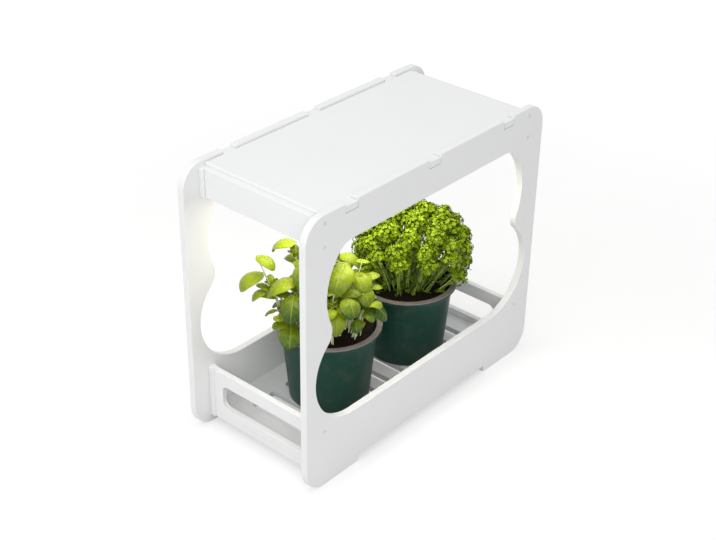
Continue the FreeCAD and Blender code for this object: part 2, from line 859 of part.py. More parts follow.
blade_half = basil_leaf_width / 2
blade_middle = basil_leaf_length / 2
cup_centre = Vector(blade_middle, 0, -math.sqrt(basil_cup_radius ** 2 - blade_middle ** 2))
blade_outline = Part.Wire(
    [
        Part.Arc(Vector(), Vector(blade_middle, blade_half, 0), Vector(basil_leaf_length, 0, 0)).toShape(),
        Part.Arc(Vector(basil_leaf_length, 0, 0), Vector(blade_middle, -blade_half, 0), Vector()).toShape(),
    ]
)
blade_prism = slab(blade_outline, Vector(0, 0, basil_leaf_length))
blade_prism.translate(Vector(0, 0, -blade_half))
shell = Part.makeSphere(basil_cup_radius, cup_centre)
shell = shell.cut(Part.makeSphere(basil_cup_radius - basil_leaf_thickness, cup_centre))
blade = shell.common(blade_prism)

basil_leaves = []
for stem_index, across, toward, raised, size_share in basil_leaf_shares:
    stem_foot, stem_tip = stem_lines[stem_index]
    stem_way = (stem_tip - stem_foot).normalize()
    middle = plant_point(*basil_size, across, toward, raised)
    reach = size_share * basil_leaf_length / 2 + basil_stalk_length
    level = (middle - stem_foot).dot(stem_way)
    aside = (middle - stem_foot - stem_way * level).Length
    drop = math.sqrt(max(reach ** 2 - aside ** 2, basil_stalk_length ** 2))
    highest = (stem_tip - stem_foot).Length - basil_stalk_radius
    joint = stem_foot + stem_way * min(level - drop, highest)
    leaf_way = (middle - joint).normalize()
    leaf_side = up.cross(leaf_way).normalize()
    leaf_normal = leaf_way.cross(leaf_side)
    base = middle - leaf_way * (size_share * basil_leaf_length / 2)
    leaf = blade.copy()
    leaf.scale(size_share)
    leaf.Placement = FreeCAD.Placement(base, FreeCAD.Rotation(leaf_way, leaf_side, leaf_normal, "XZY"))
    stalk_end = base + leaf_way * (basil_stalk_under * size_share)
    stalk = rod(joint, stalk_end, basil_stalk_radius, basil_stalk_radius)
    stalk = stalk.cut(rod(stem_foot, stem_tip, basil_stem_foot_radius, basil_stem_tip_radius))
    basil_leaves.append(leaf.fuse(stalk).removeSplitter())

save("basil_stems", *[stand(piece, basil_pot_x, basil_pot_y) for piece in basil_stems])
save("basil_leaves", *[stand(piece, basil_pot_x, basil_pot_y) for piece in basil_leaves])


# Curly parsley

head_lumps = []
for count, climb in parsley_lump_rings:
    for index in range(count):
        angle = math.radians(index * full_turn / count)
        level = math.radians(climb)
        way = Vector(math.cos(angle) * math.cos(level), math.sin(angle) * math.cos(level), math.sin(level))
        head_lumps.append(Part.makeSphere(parsley_lump_radius, way * parsley_lump_reach))
head_shape = Part.makeSphere(parsley_core_radius).multiFuse(head_lumps)

parsley_size = (parsley_heading, parsley_spread, parsley_height)
parsley_lean = Vector(parsley_lean_share * parsley_spread, 0, 0)
parsley_heads = []
parsley_stems = []
for count, places, ring_share, foot_share, height_share, start_share in parsley_ring_shares:
    for index in range(count):
        angle = math.radians((index + start_share) * full_turn / places)
        across = math.cos(angle)
        toward = math.sin(angle)
        head_place = plant_point(*parsley_size, across * ring_share, toward * ring_share, height_share)
        head_place += parsley_lean
        stem_foot = plant_point(*parsley_size, across * foot_share, toward * foot_share, 0)
        stem_way = head_place - stem_foot
        head = head_shape.copy()
        head.Placement = FreeCAD.Placement(head_place, FreeCAD.Rotation(up, stem_way))
        parsley_heads.append(head)
        stem = rod(stem_foot, head_place, parsley_stem_foot_radius, parsley_stem_tip_radius)
        parsley_stems.append(stem.cut(soil).cut(head))

save("parsley_stems", *[stand(piece, parsley_pot_x, parsley_pot_y) for piece in parsley_stems])
save("parsley_leaves", *[stand(piece, parsley_pot_x, parsley_pot_y) for piece in parsley_heads])
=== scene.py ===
import json
import random
from math import cos, exp, pi, radians, sin, tau

import bmesh
import bpy
from bpy.props import FloatProperty, FloatVectorProperty, IntProperty, PointerProperty
from bpy.types import Operator, Panel, PropertyGroup
from mathutils import Matrix, Vector, noise

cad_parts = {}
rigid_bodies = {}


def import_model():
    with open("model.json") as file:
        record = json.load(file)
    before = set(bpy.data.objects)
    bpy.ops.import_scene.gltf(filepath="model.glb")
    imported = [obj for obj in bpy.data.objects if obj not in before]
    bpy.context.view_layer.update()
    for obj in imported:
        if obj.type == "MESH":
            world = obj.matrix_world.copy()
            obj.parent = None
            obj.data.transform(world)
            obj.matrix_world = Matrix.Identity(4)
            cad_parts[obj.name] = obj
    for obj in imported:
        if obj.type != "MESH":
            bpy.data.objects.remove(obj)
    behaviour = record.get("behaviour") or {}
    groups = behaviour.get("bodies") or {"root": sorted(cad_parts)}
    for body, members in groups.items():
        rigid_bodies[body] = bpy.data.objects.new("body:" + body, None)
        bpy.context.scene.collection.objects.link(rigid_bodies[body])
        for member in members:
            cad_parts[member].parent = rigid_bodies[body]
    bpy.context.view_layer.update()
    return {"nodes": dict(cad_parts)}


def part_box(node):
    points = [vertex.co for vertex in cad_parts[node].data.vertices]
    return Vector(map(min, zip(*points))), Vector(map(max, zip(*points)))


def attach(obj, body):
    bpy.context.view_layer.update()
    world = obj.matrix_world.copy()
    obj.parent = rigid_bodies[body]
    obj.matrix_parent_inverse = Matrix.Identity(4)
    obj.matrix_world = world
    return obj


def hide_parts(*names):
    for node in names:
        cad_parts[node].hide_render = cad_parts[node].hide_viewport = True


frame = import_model()

bl_info = {
    "name": "Indoor herb planter",
    "version": (1, 0, 0),
    "blender": (4, 5, 0),
    "location": "3D View > Sidebar > Planter",
    "description": "Finishes, herbs and stage of a lit indoor herb planter",
    "category": "Object",
}

# Stems of the basil: foot and tip, as shares across, toward the front left and up
STEM_SHARES = [
    ((0.10, 0.20), (0.22, 0.24, 0.54)),
    ((0.28, 0.10), (0.52, 0.06, 0.58)),
    ((0.42, 0.34), (0.66, 0.30, 0.38)),
    ((0.02, 0.48), (0.06, 0.56, 0.42)),
    ((-0.12, 0.08), (-0.18, 0.14, 0.88)),
    ((-0.28, 0.16), (-0.58, 0.26, 0.44)),
    ((-0.36, 0.02), (-1.06, 0.16, 0.50)),
    ((-0.20, -0.14), (-0.62, -0.10, 0.78)),
    ((-0.36, 0.36), (-0.80, 0.42, 0.26)),
    ((0.18, -0.26), (0.24, -0.44, 0.52)),
    ((-0.10, -0.40), (-0.22, -0.62, 0.56)),
]

# Middles of the basil leaves: stem, then across, toward, up, and length as a share of the full leaf
LEAF_SHARES = [
    (0, 0.26, -0.08, 0.69, 0.62),
    (1, 0.62, -0.09, 0.74, 0.50),
    (1, 0.60, 0.22, 0.63, 0.70),
    (0, 0.20, 0.40, 0.71, 1.00),
    (0, 0.40, 0.72, 0.50, 0.66),
    (1, 0.64, 0.38, 0.52, 0.70),
    (2, 0.84, 0.06, 0.50, 0.62),
    (2, 0.84, 0.38, 0.34, 0.82),
    (3, 0.30, 0.62, 0.40, 0.55),
    (3, 0.02, 0.46, 0.56, 0.65),
    (3, 0.10, 0.76, 0.34, 0.80),
    (2, 0.52, 0.62, 0.24, 0.42),
    (6, -1.42, 0.28, 0.64, 0.80),
    (6, -1.14, 0.36, 0.87, 0.62),
    (6, -1.30, 0.20, 0.44, 0.50),
    (5, -0.86, 0.30, 0.58, 1.00),
    (5, -0.66, 0.68, 0.46, 0.88),
    (7, -0.84, -0.16, 0.90, 0.80),
    (8, -1.06, 0.34, 0.28, 0.45),
    (8, -0.70, 0.78, 0.18, 0.85),
    (4, -0.38, 0.42, 0.78, 0.95),
    (4, 0.00, 0.20, 0.98, 0.75),
    (4, -0.34, -0.16, 0.98, 0.80),
    (8, -0.36, 0.70, 0.34, 0.75),
    (9, 0.36, -0.46, 0.65, 0.70),
    (9, 0.00, -0.78, 0.50, 0.72),
    (10, -0.26, -0.92, 0.62, 0.85),
    (10, -0.52, -0.68, 0.46, 0.75),
    (7, -0.66, -0.48, 0.64, 0.75),
    (9, 0.34, -0.42, 0.42, 0.60),
    (10, -0.14, -0.48, 0.74, 0.70),
    (6, -0.90, 0.00, 0.26, 0.60),
    (1, 0.30, -0.12, 0.52, 0.55),
]

# Small leaves of every basil stem: level up the stem, pairs, least and most size, and climb
ROSETTE_SHARES = [
    (1.00, 2, 0.22, 0.38, 1.30),
    (0.93, 1, 0.42, 0.62, 0.35),
    (0.78, 1, 0.40, 0.60, 0.10),
    (0.58, 1, 0.30, 0.50, 0.00),
]

# Rings of parsley heads: heads, places in a full ring, radius of the ring and of the stems' feet, height,
# and start in places
RING_SHARES = [
    (9, 12, 0.95, 0.58, 0.26, 5.00),
    (12, 12, 0.95, 0.44, 0.54, 0.50),
    (8, 8, 0.70, 0.28, 0.77, 0.20),
    (3, 3, 0.29, 0.10, 0.89, 0.60),
]

# Filling heads between those of the rings, in the same form
FILL_SHARES = [
    (10, 10, 0.88, 0.36, 0.66, 0.10),
    (8, 8, 0.62, 0.24, 0.62, 0.35),
    (7, 7, 0.48, 0.20, 0.77, 0.80),
    (2, 2, 0.06, 0.00, 0.84, 0.00),
]

# Basil leaf forms, as shares of the length: width, arch, cup, curl of the tip and skew
LEAF_FORM_SHARES = [
    (0.68, 0.20, 0.15, 0.15, 0.02),
    (0.72, 0.22, 0.19, 0.30, -0.02),
    (0.64, 0.24, 0.16, 0.40, 0.03),
    (0.76, 0.21, 0.21, 0.20, -0.03),
]

# Waves around the rim of each curly leaflet
FRILL_WAVES = (3, 4, 3, 4)

# Lamp parts with a fine grain: finish, node, gloss, grain scale and depth, dark and light tone
LAMP_FINISHES = [
    ("solder_mask", "light_board", 0.4, 800.0, 0.00003, (0.70, 0.70, 0.67), (0.78, 0.78, 0.75)),
    ("chip_resin", "light_chips", 0.2, 3000.0, 0.00003, (0.62, 0.44, 0.08), (0.78, 0.62, 0.16)),
    ("inlet_plastic", "supply_inlet", 0.4, 2500.0, 0.00003, (0.012, 0.012, 0.012), (0.022, 0.022, 0.023)),
    ("lead_sleeve", "lamp_lead", 0.5, 1200.0, 0.00004, (0.62, 0.62, 0.60), (0.70, 0.70, 0.68)),
]

# Soft lights: name, place, height that it faces, size, and the setting of its power
LIGHTS = [
    ("overhead_light", (-0.5, -0.1, 1.9), 0.2, 1.8, "key"),
    ("left_light", (-1.9, 0.35, 0.9), 0.2, 1.2, "side"),
    ("camera_light", (-1.55, -1.45, 1.15), 0.15, 1.0, "fill"),
]

# Roughness and ripple of both lacquers, and the heights over a joint where its painted shadow line fades
SATIN = (0.38, 0.00005)
GLOSSY = (0.16, 0.00004)
JOINT_SHADOW_FADE = (0.0004, 0.0011)

# A pot's painted rim highlight and the fade at its foot, the soil under the rim, and a stem's foot in the
# soil
RIM_HIGHLIGHT_DEPTH = 0.0016
RIM_HIGHLIGHT_FADE = 0.0006
SOIL_DIP = 0.008
ROOT_DEPTH = 0.004

# Fine stems beside each thick one: their distance, drop of the tips, and low leaflets
FINE_STEMS = 3
BASIL_ASIDE = (0.005, 0.012)
PARSLEY_ASIDE = 0.008
FINE_STEM_DROP = 0.006
LOW_LEAFLETS = 3

# Bend of a leaf stalk and its end inside the leaf
STALK_BEND = 0.0015
STALK_OVERRUN = 0.003

# Bow of a parsley stem, twigs in each head and the way out to their middles
STEM_BOW = 0.004
TWIGS = 4
TWIG_REACH = 0.003

FLOOR_REACH = 6.0
SENSOR_WIDTH = 36.0
UP = Vector((0, 0, 1))


# Settings


def length(note, default):
    return FloatProperty(description=note, default=default, min=0, unit="LENGTH", precision=4)


def angle(note, degrees):
    return FloatProperty(description=note, default=radians(degrees), subtype="ANGLE")


def amount(note, default, least=0):
    return FloatProperty(description=note, default=default, min=least)


def whole(note, default):
    return IntProperty(description=note, default=default, min=1)


def colour(note, default):
    return FloatVectorProperty(description=note, default=default, subtype="COLOR", size=3, min=0, max=1)


class BoardSettings(PropertyGroup):
    """Colours of the lacquered boards and the screw covers."""

    lacquer: colour("Satin white of the panels, top and aprons", (0.86, 0.865, 0.87))
    tray: colour("Glossy white of the tray floor", (0.78, 0.79, 0.80))
    cover: colour("White of the screw covers", (0.72, 0.72, 0.72))


class LampSettings(PropertyGroup):
    """The lamp in the hood."""

    glow: colour("Colour of the lit diffuser", (1.0, 0.93, 0.82))
    strength: amount("Brightness of the diffuser", 5.0)


class PotSettings(PropertyGroup):
    """Colours of the pots and the soil."""

    wall: colour("Dark green plastic", (0.006, 0.048, 0.032))
    # Rim colour: the painted highlight on the pots' rims, and the tone of their dust
    rim: colour("Painted highlight on the pot rims, also their dust tone", (0.26, 0.225, 0.205))
    soil: colour("Damp peat", (0.009, 0.006, 0.004))
    crumb: length("Size of a soil crumb", 0.0035)
    seed: whole("Choice of the soil's crumbs", 3)


class BasilSettings(PropertyGroup):
    """Sizes and colours of the basil."""

    spread: length("Sideways size that the shares follow", 0.070)
    rise: length("Height that the shares follow", 0.130)
    heading: angle("Direction that counts as across", -49)
    leaf: length("Length of a full leaf", 0.048)
    dome: amount("Height of a leaf's middle over its ends, as a share", 0.13)
    droop: amount("Fall of a leaf blade along its length", 0.55)
    stalk: length("Least length of a leaf's bare stalk", 0.005)
    stalk_radius: length("Radius of a leaf stalk", 0.0008)
    foot_radius: length("Radius of a stem at the soil", 0.0017)
    tip_radius: length("Radius of a stem at its tip", 0.0010)
    seed: whole("Choice of the leaves' tilts and tones", 5)
    # Ends of the leaf tone, which carries painted light on high leaves and painted shade on low ones
    leaf_light: colour("Upper side of a young leaf", (0.33, 0.42, 0.008))
    leaf_dark: colour("Upper side of an old leaf", (0.03, 0.08, 0.001))
    stem: colour("Pale stem", (0.76, 0.80, 0.50))


class ParsleySettings(PropertyGroup):
    """Sizes and colours of the curly parsley."""

    spread: length("Ring radius that the shares follow", 0.072)
    rise: length("Height that the shares follow", 0.110)
    heading: angle("Direction that counts as across", -49)
    lean: amount("Shift of the heads along X, as a share of the spread", 0.14, -1)
    head: length("Half size of one curly head", 0.0165)
    leaflet: length("Half size of one frilled leaflet", 0.0034)
    leaflets: whole("Leaflets in one head", 136)
    foot_radius: length("Radius of a stem at the soil", 0.0012)
    tip_radius: length("Radius of a stem at its head", 0.0008)
    seed: whole("Choice of the leaflets' places", 11)
    # Ends of the curl tone, which carries painted light on outer and upward curls and painted shade on inner
    # and low ones
    leaf_light: colour("Young curls", (0.29, 0.42, 0.004))
    leaf_dark: colour("Old and inner curls", (0.022, 0.085, 0.002))
    stem: colour("Pale stem", (0.46, 0.61, 0.14))


class StageSettings(PropertyGroup):
    """Camera, lights and floor."""

    azimuth: angle("Camera direction about Z", -49.061)
    elevation: angle("Camera height angle", 30.977)
    roll: angle("Camera roll", 0.862)
    distance: length("Camera distance from its target", 1.7736)
    target: FloatVectorProperty(description="Middle of the view", default=(-0.03818, -0.01677, 0.20812))
    lens: amount("Focal length in millimetres", 69.03, 1)
    floor: colour("Plain pale floor", (0.56, 0.56, 0.56))
    backdrop: amount("Glow that only a camera sees on the floor", 0.62)
    ambient: amount("Strength of the world's light", 0.68)
    key: amount("Watts of the overhead soft light", 7.5)
    side: amount("Watts of the left soft light", 6.5)
    fill: amount("Watts of the soft light by the camera", 11.0)


# Node trees


class Tree:
    """A node tree that gets all its nodes from one method."""

    def __init__(self, tree):
        self.tree = tree

    def node(self, kind, settings=None, sockets=None):
        """A new node: its settings come first, then the values or links of its sockets."""
        node = self.tree.nodes.new(kind)
        for label, value in (settings or {}).items():
            setattr(node, label, value)
        for label, value in (sockets or {}).items():
            self.plug(value, node.inputs[label])
        return node

    def plug(self, value, socket):
        """Links a field or an output to a socket, or sets a plain value there."""
        if isinstance(value, Field):
            value = value.socket
        if isinstance(value, bpy.types.NodeSocket):
            self.tree.links.new(value, socket)
        else:
            socket.default_value = value


class Field:
    """A shader value that adds, subtracts and multiplies like a number."""

    def __init__(self, owner, socket):
        self.owner = owner
        self.socket = socket

    def math(self, operation, *others):
        node = self.owner.node("ShaderNodeMath", {"operation": operation}, dict(enumerate((self, *others))))
        return Field(self.owner, node.outputs[0])

    def __add__(self, other):
        return self.math("ADD", other)

    __radd__ = __add__

    def __mul__(self, other):
        return self.math("MULTIPLY", other)

    __rmul__ = __mul__

    def __sub__(self, other):
        return self.math("SUBTRACT", other)

    def __rsub__(self, other):
        return (self * -1) + other

    def __abs__(self):
        return self.math("ABSOLUTE")

    def ramp(self, low, high):
        """Smooth step from 0 at low to 1 at high."""
        sockets = {"Value": self, "From Min": low, "From Max": high}
        node = self.owner.node("ShaderNodeMapRange", {"interpolation_type": "SMOOTHSTEP"}, sockets)
        return Field(self.owner, node.outputs["Result"])


class Finish(Tree):
    """One material, built from named constants and fields."""

    def __init__(self, name, **constants):
        self.material = bpy.data.materials.new(name)
        self.material.use_nodes = True
        super().__init__(self.material.node_tree)
        self.shader = self.tree.nodes["Principled BSDF"]
        for label, value in constants.items():
            socket = self.shader.inputs[label.replace("_", " ").title().replace("Ior", "IOR")]
            socket.default_value = (*value, 1) if hasattr(value, "__len__") else value

    def place(self):
        """Object coordinates as a vector output."""
        return self.node("ShaderNodeTexCoord").outputs["Object"]

    def axes(self, vector):
        parts = self.node("ShaderNodeSeparateXYZ", None, {"Vector": vector})
        return [Field(self, output) for output in parts.outputs]

    def attribute(self, label):
        """A number that the piece's points carry."""
        return Field(self, self.node("ShaderNodeAttribute", {"attribute_name": label}).outputs["Fac"])

    def noise(self, scale, detail=2.0, vector=None, rough=0.5):
        sockets = {"Vector": vector or self.place(), "Scale": scale, "Detail": detail, "Roughness": rough}
        return Field(self, self.node("ShaderNodeTexNoise", None, sockets).outputs[0])

    def streaks(self, scales, detail=3.0):
        """Noise drawn out by a scale of its own along each axis."""
        stretched = self.node("ShaderNodeMapping", None, {"Vector": self.place(), "Scale": scales})
        return self.noise(1.0, detail, stretched.outputs[0])

    def mix(self, share, *ends):
        """Colour from one end at 0 to the other at 1, each a colour or an output."""
        low, high = [end if isinstance(end, bpy.types.NodeSocket) else (*end, 1) for end in ends]
        sockets = {"Factor": share, 6: low, 7: high}
        return self.node("ShaderNodeMix", {"data_type": "RGBA"}, sockets).outputs[2]

    def feed(self, **inputs):
        """Links fields and outputs to the shader."""
        for label, value in inputs.items():
            self.plug(value, self.shader.inputs[label.replace("_", " ")])

    def bump(self, height, distance, strength):
        """Adds relief and gives the finished material."""
        sockets = {"Height": height, "Distance": distance, "Strength": strength}
        self.feed(Normal=self.node("ShaderNodeBump", None, sockets).outputs[0])
        return self.material


def shade(values, share):
    return tuple(value * share for value in values)


class Growth(Tree):
    """A Geometry Nodes tree with named inputs that ends in realised instances with a material."""

    def __init__(self, name, **inputs):
        super().__init__(bpy.data.node_groups.new(name, "GeometryNodeTree"))
        for label, kind in {"Geometry": "Geometry", "Material": "Material", **inputs}.items():
            self.tree.interface.new_socket(label, in_out="INPUT", socket_type="NodeSocket" + kind)
        self.tree.interface.new_socket("Geometry", in_out="OUTPUT", socket_type="NodeSocketGeometry")
        self.start = self.node("NodeGroupInput")

    def given(self, label):
        return self.start.outputs[label]

    def named(self, label, kind="FLOAT"):
        return self.node("GeometryNodeInputNamedAttribute", {"data_type": kind}, {"Name": label}).outputs[0]

    def copies(self, points, sockets):
        """The given pieces on points, picked, turned and sized by the sockets."""
        pieces = self.node(
            "GeometryNodeCollectionInfo",
            {"transform_space": "ORIGINAL"},
            {"Collection": self.given("Pieces"), "Separate Children": True, "Reset Children": True},
        )
        sockets = {"Points": points, "Instance": pieces.outputs[0], "Pick Instance": True, **sockets}
        return self.node("GeometryNodeInstanceOnPoints", None, sockets).outputs[0]

    def finish(self, geometry):
        """Realises instances, sets the material and closes the tree."""
        realised = self.node("GeometryNodeRealizeInstances", None, {"Geometry": geometry}).outputs[0]
        sockets = {"Geometry": realised, "Material": self.given("Material")}
        painted = self.node("GeometryNodeSetMaterial", None, sockets)
        self.node("NodeGroupOutput", None, {0: painted.outputs[0]})
        return self.tree


def instances_tree():
    """Copies of the given pieces on points that carry turn, size and kind."""
    growth = Growth("pieces_on_points", Pieces="Collection")
    points = growth.node("GeometryNodeMeshToPoints", None, {"Mesh": growth.given("Geometry")})
    sockets = {
        "Instance Index": growth.named("kind", "INT"),
        "Rotation": growth.named("turn", "FLOAT_VECTOR"),
        "Scale": growth.named("size"),
    }
    return growth.finish(growth.copies(points.outputs[0], sockets))


def rods_tree():
    """Round rods along polylines, as thick as their points say."""
    growth = Growth("rods_along_lines", Sides="Int")
    lines = growth.node("GeometryNodeMeshToCurve", None, {"Mesh": growth.given("Geometry")})
    unit_ring = {"Resolution": growth.given("Sides"), "Radius": 1.0}
    sockets = {
        "Curve": lines.outputs[0],
        "Profile Curve": growth.node("GeometryNodeCurvePrimitiveCircle", None, unit_ring).outputs[0],
        "Fill Caps": True,
        "Scale": growth.named("thickness"),
    }
    swept = growth.node("GeometryNodeCurveToMesh", None, sockets)
    smooth = growth.node("GeometryNodeSetShadeSmooth", None, {"Geometry": swept.outputs[0]})
    return growth.finish(smooth.outputs[0])


def crumbs_tree():
    """A bed with the given crumbs scattered on its upward faces."""
    least_upward = 0.7
    most_in_square_metre = 400000.0
    least_size_share = 0.35
    growth = Growth("crumbs_on_bed", Pieces="Collection", Spacing="Float", Size="Float", Seed="Int")
    bed, seed = growth.given("Geometry"), growth.given("Seed")
    facing = growth.node("GeometryNodeInputNormal").outputs[0]
    level = growth.node("ShaderNodeSeparateXYZ", None, {"Vector": facing}).outputs["Z"]
    sockets = {"A": level, "B": least_upward}
    upward = growth.node("FunctionNodeCompare", {"operation": "GREATER_THAN"}, sockets)
    sockets = {
        "Mesh": bed,
        "Selection": upward.outputs[0],
        "Distance Min": growth.given("Spacing"),
        "Density Max": most_in_square_metre,
        "Seed": seed,
    }
    points = growth.node("GeometryNodeDistributePointsOnFaces", {"distribute_method": "POISSON"}, sockets)
    sockets = {"Max": (tau, tau, tau), "Seed": seed}
    turn = growth.node("FunctionNodeRandomValue", {"data_type": "FLOAT_VECTOR"}, sockets)
    sockets = {2: least_size_share, 3: 1.0, "Seed": seed}
    size = growth.node("FunctionNodeRandomValue", {"data_type": "FLOAT"}, sockets)
    sockets = {0: size.outputs[1], 1: growth.given("Size")}
    scaled = growth.node("ShaderNodeMath", {"operation": "MULTIPLY"}, sockets)
    crumbs = growth.copies(points.outputs[0], {"Rotation": turn.outputs[0], "Scale": scaled.outputs[0]})
    joined = growth.node("GeometryNodeJoinGeometry")
    for part in (bed, crumbs):
        growth.plug(part, joined.inputs[0])
    return growth.finish(joined.outputs[0])


# Meshes


def put(name, data):
    """A new object in the scene."""
    thing = bpy.data.objects.new(name, data)
    bpy.context.scene.collection.objects.link(thing)
    return thing


def mesh_object(name, points, faces=(), edges=(), smooth=True):
    mesh = bpy.data.meshes.new(name)
    mesh.from_pydata([tuple(point) for point in points], edges, faces)
    mesh.update()
    if smooth:
        mesh.shade_smooth()
    return put(name, mesh)


def ring_faces(sides, rings):
    """Faces of a closed body: a point, rings of points under it, and a point below them."""
    faces = []
    last = 1 + (rings - 1) * sides
    for side in range(sides):
        after = (side + 1) % sides
        faces.append((0, 1 + side, 1 + after))
        for first in range(1, last, sides):
            second = first + sides
            faces.append((first + side, second + side, second + after, first + after))
        faces.append((last + side, last + sides, last + after))
    return faces


def level_way(turn, rise=0):
    """A way out at an angle about Z."""
    return Vector((cos(turn), sin(turn), rise))


def sealed(thing, reach):
    """Merges points closer than a reach and turns all faces outward."""
    shape = bmesh.new()
    shape.from_mesh(thing.data)
    bmesh.ops.remove_doubles(shape, verts=shape.verts, dist=reach)
    bmesh.ops.recalc_face_normals(shape, faces=shape.faces)
    shape.to_mesh(thing.data)
    shape.free()
    return thing


def mark(thing, label, kind, values):
    """Gives the vertices of a mesh a named attribute."""
    attribute = thing.data.attributes.new(label, kind, "POINT")
    if kind == "FLOAT_VECTOR":
        attribute.data.foreach_set("vector", [number for value in values for number in value])
    else:
        attribute.data.foreach_set("value", values)


def grown(name, source, tree, given):
    """The result of a tree on a source object, as a plain mesh object. The source is removed."""
    modifier = source.modifiers.new(tree.name, "NODES")
    modifier.node_group = tree
    for item in tree.interface.items_tree:
        if item.item_type == "SOCKET" and item.name in given:
            modifier[item.identifier] = given[item.name]
    graph = bpy.context.evaluated_depsgraph_get()
    mesh = bpy.data.meshes.new_from_object(source.evaluated_get(graph))
    source.modifiers.remove(modifier)
    bpy.data.objects.remove(source)
    if not mesh.polygons:
        raise RuntimeError("the tree gave no faces for " + name)
    mesh.name = name
    return put(name, mesh)


def kit(name, things):
    """A hidden collection of shapes that a tree copies."""
    group = bpy.data.collections.new(name)
    for thing in things:
        bpy.context.scene.collection.objects.unlink(thing)
        group.objects.link(thing)
    return group


def drop(group):
    """Removes a collection of shapes once they are copied."""
    for thing in list(group.objects):
        bpy.data.objects.remove(thing)
    bpy.data.collections.remove(group)


def settle(thing, body, slot, *nodes):
    """Says which body a finished piece rides on and which nodes it stands for."""
    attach(thing, body)
    if nodes:
        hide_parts(*nodes)


def dress(material, *nodes):
    """Gives CAD nodes a material."""
    for node in nodes:
        thing = frame["nodes"][node]
        thing.data.materials.clear()
        thing.data.materials.append(material)


# Boards


def lacquer_finish(name, paint, gloss, ripple, joint=None):
    """Sprayed lacquer: faint orange peel, uneven gloss, and a painted shadow line at a joint's height."""
    finish = Finish(name, roughness=gloss, coat_weight=0.25, coat_roughness=0.12)
    coat = finish.mix(finish.noise(9.0, 3.0).ramp(0.3, 0.7), shade(paint, 0.985), paint)
    if joint is not None:
        # Painted shadow: the paint darkens up to about a millimetre over the joint, for the shadow gap under
        # the plate's tabs
        over = finish.axes(finish.place())[2] - joint
        coat = finish.mix(over.ramp(*JOINT_SHADOW_FADE), shade(paint, 0.35), coat)
    finish.feed(Base_Color=coat, Roughness=finish.noise(60.0) * 0.10 + (gloss - 0.05))
    return finish.bump(finish.noise(900.0, 1.0) + finish.noise(120.0) * 0.6, ripple, 0.25)


def grained_finish(name, gloss, grain, depth, dark, light, strength=0.4):
    """Plain surface with a fine grain of two tones."""
    finish = Finish(name, roughness=gloss)
    speck = finish.noise(grain)
    finish.feed(Base_Color=finish.mix(speck, dark, light))
    return finish.bump(speck, depth, strength)


class PLANTER_OT_boards(Operator):
    """Paint the panels, tray, cleats, hood and screw covers."""

    bl_idname = "planter.boards"
    bl_label = "Boards"

    def execute(self, context):
        paints = context.scene.planter_boards
        white = lacquer_finish("white_lacquer", paints.lacquer, *SATIN)
        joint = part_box("top_plate")[0].z
        # The plate's lacquer carries a painted shadow line just over its lowest face
        dress(lacquer_finish("plate_lacquer", paints.lacquer, *SATIN, joint), "top_plate")
        boards = ("side_panel_", "hood_", "tray_end_", "tray_cleat_")
        dress(white, *[name for name in frame["nodes"] if name.startswith(boards)])
        dress(lacquer_finish("tray_lacquer", paints.tray, *GLOSSY), "tray_floor")
        cover = grained_finish("screw_cover", 0.45, 1500.0, 0.00004, shade(paints.cover, 0.94), paints.cover)
        dress(cover, "panel_screws_front", "panel_screws_rear")
        return {"FINISHED"}


# Lamp


def metal_finish(name, paint, gloss, grain):
    """Plated or drawn metal with fine grain."""
    finish = Finish(name, metallic=1.0, roughness=gloss)
    streak = finish.streaks(grain)
    finish.feed(Base_Color=finish.mix(streak, shade(paint, 0.85), paint))
    finish.feed(Roughness=streak * 0.2 + gloss - 0.1)
    return finish.bump(streak, 0.00003, 0.3)


def opal_finish(lamp):
    """Lit sheet with a faint haze."""
    finish = Finish("opal_sheet", roughness=0.35, emission_strength=lamp.strength)
    haze = finish.noise(35.0, 3.0)
    lit = finish.mix(haze.ramp(0.3, 0.7), shade(lamp.glow, 0.93), lamp.glow)
    finish.feed(Base_Color=finish.mix(haze, (0.78, 0.77, 0.74), (0.84, 0.83, 0.80)), Emission_Color=lit)
    return finish.bump(finish.noise(500.0), 0.00003, 0.3)


class PLANTER_OT_lamp(Operator):
    """Finish the lamp, its fixings, the inlet and the lead."""

    bl_idname = "planter.lamp"
    bl_label = "Lamp"

    def execute(self, context):
        coat = grained_finish("powder_coat", 0.5, 700.0, 0.0001, (0.74, 0.74, 0.73), (0.80, 0.80, 0.79), 0.5)
        dress(coat, "lamp_housing")
        dress(opal_finish(context.scene.planter_lamp), "lamp_diffuser")
        for name, node, gloss, grain, depth, dark, light in LAMP_FINISHES:
            dress(grained_finish(name, gloss, grain, depth, dark, light), node)
        zinc = metal_finish("zinc_plate", (0.62, 0.62, 0.63), 0.35, (900.0, 900.0, 200.0))
        dress(zinc, "lamp_screws", "inlet_nut")
        dress(metal_finish("rivet_metal", (0.72, 0.72, 0.73), 0.4, (600.0, 600.0, 600.0)), "board_rivets")
        return {"FINISHED"}


# Pots and soil


def pot_finish(paints):
    """Thin moulded pot: faint streaks down the wall, and a dull grey-brown band at the top of the rim that
    is a painted highlight.
    """
    finish = Finish("pot_plastic", roughness=0.42, specular_ior_level=0.3)
    height = finish.axes(finish.place())[2]
    # Painted highlight: a mottled grey-brown band round the top of the rim
    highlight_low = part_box("basil_pot")[1].z - RIM_HIGHLIGHT_DEPTH
    rim_highlight = height.ramp(highlight_low, highlight_low + RIM_HIGHLIGHT_FADE) * (finish.noise(120.0, 3.0) * 0.5 + 0.6)
    streak = finish.streaks((260.0, 260.0, 14.0))
    dust = finish.noise(55.0, 4.0).ramp(0.45, 0.8)
    wall = finish.mix(streak, shade(paints.wall, 0.85), shade(paints.wall, 1.15))
    wall = finish.mix(dust * 0.12, wall, shade(paints.rim, 0.9))
    finish.feed(Base_Color=finish.mix(rim_highlight, wall, paints.rim), Roughness=streak * 0.12 + dust * 0.12 + 0.34)
    return finish.bump(streak + finish.noise(1400.0, 1.0) * 0.4, 0.00008, 0.4)


